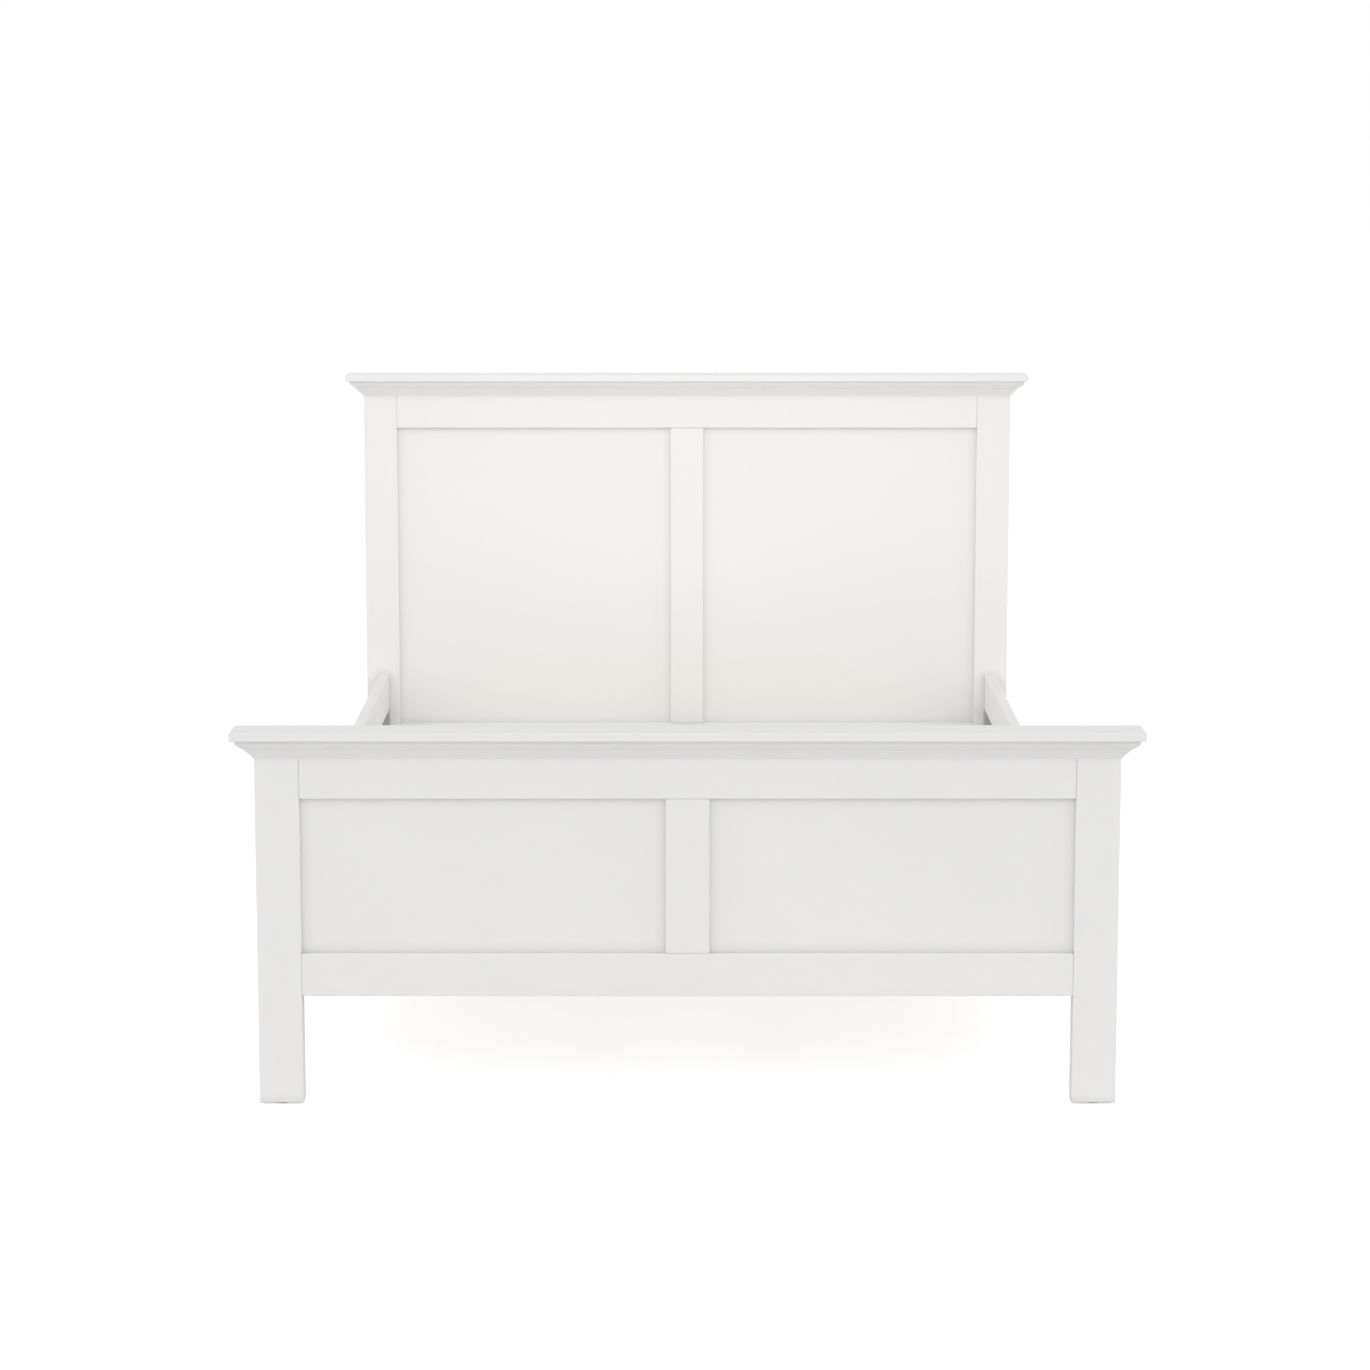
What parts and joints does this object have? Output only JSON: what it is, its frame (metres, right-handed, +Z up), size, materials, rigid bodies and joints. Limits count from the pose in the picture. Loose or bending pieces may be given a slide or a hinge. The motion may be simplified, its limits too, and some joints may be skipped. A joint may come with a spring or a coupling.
{
  "type": "bed frame",
  "caption": "Panelled bed frame: tall headboard and low footboard under crown mouldings and caps, hooked side rails, lift-out slatted base on steel ledges and a centre beam.",
  "frame": {"origin": "on the floor, in the middle of the bed's length and width", "axes": "+X to the right of someone who looks from the foot to the head, +Y from foot to head, +Z up"},
  "size_m": [1.592, 2.1254, 1.106],
  "materials": {
    "white_lacquer": "satin white lacquer",
    "slat_wood": "planed, untreated",
    "dowel_wood": "fluted, untreated",
    "grey_steel": "powder coated",
    "zinc_steel": "zinc plated",
    "black_plastic": "moulded",
    "felt": "pressed felt",
    "webbing": "woven"
  },
  "bodies": {
    "frame": {"board_dowels": "dowel_wood", "centre_beam": "grey_steel", "centre_leg_front": "grey_steel", "centre_leg_rear": "grey_steel", "fitting_screws": "zinc_steel", "foot_beam_saddle": "grey_steel", "foot_bottom_rail": "white_lacquer", "foot_cap": "white_lacquer", "foot_centre_stile": "white_lacquer", "foot_cornice_front": "white_lacquer", "foot_cornice_left": "white_lacquer", "foot_cornice_right": "white_lacquer", "foot_hook_bracket_left": "zinc_steel", "foot_hook_bracket_right": "zinc_steel", "foot_panel_left": "white_lacquer", "foot_panel_right": "white_lacquer", "foot_post_left": "white_lacquer", "foot_post_right": "white_lacquer", "foot_slotted_plate_left": "zinc_steel", "foot_slotted_plate_right": "zinc_steel", "foot_top_rail": "white_lacquer", "head_beam_saddle": "grey_steel", "head_bottom_rail": "white_lacquer", "head_cap": "white_lacquer", "head_centre_stile": "white_lacquer", "head_cornice_front": "white_lacquer", "head_cornice_left": "white_lacquer", "head_cornice_right": "white_lacquer", "head_hook_bracket_left": "zinc_steel", "head_hook_bracket_right": "zinc_steel", "head_panel_left": "white_lacquer", "head_panel_right": "white_lacquer", "head_post_left": "white_lacquer", "head_post_right": "white_lacquer", "head_slotted_plate_left": "zinc_steel", "head_slotted_plate_right": "zinc_steel", "head_top_rail": "white_lacquer", "post_glides": "felt", "side_rail_left": "white_lacquer", "side_rail_right": "white_lacquer", "slat_ledge_left": "grey_steel", "slat_ledge_right": "grey_steel"},
    "slatted_base": {"slat_01": "slat_wood", "slat_02": "slat_wood", "slat_03": "slat_wood", "slat_04": "slat_wood", "slat_05": "slat_wood", "slat_06": "slat_wood", "slat_07": "slat_wood", "slat_08": "slat_wood", "slat_09": "slat_wood", "slat_10": "slat_wood", "slat_11": "slat_wood", "slat_12": "slat_wood", "slat_13": "slat_wood", "webbing_strap_left": "webbing", "webbing_strap_right": "webbing"},
    "levelling_foot_front": {"levelling_foot_front": "black_plastic"},
    "levelling_foot_rear": {"levelling_foot_rear": "black_plastic"}
  },
  "joints": [
    {"name": "slatted_base_lift", "type": "slide", "parent": "frame", "child": "slatted_base", "axis": [0, 0, 1], "range_m": [0, 0.9]},
    {"name": "levelling_foot_front_screw", "type": "slide", "parent": "frame", "child": "levelling_foot_front", "axis": [0, 0, 1], "range_m": [0, 0.02]},
    {"name": "levelling_foot_rear_screw", "type": "slide", "parent": "frame", "child": "levelling_foot_rear", "axis": [0, 0, 1], "range_m": [0, 0.02]}
  ]
}
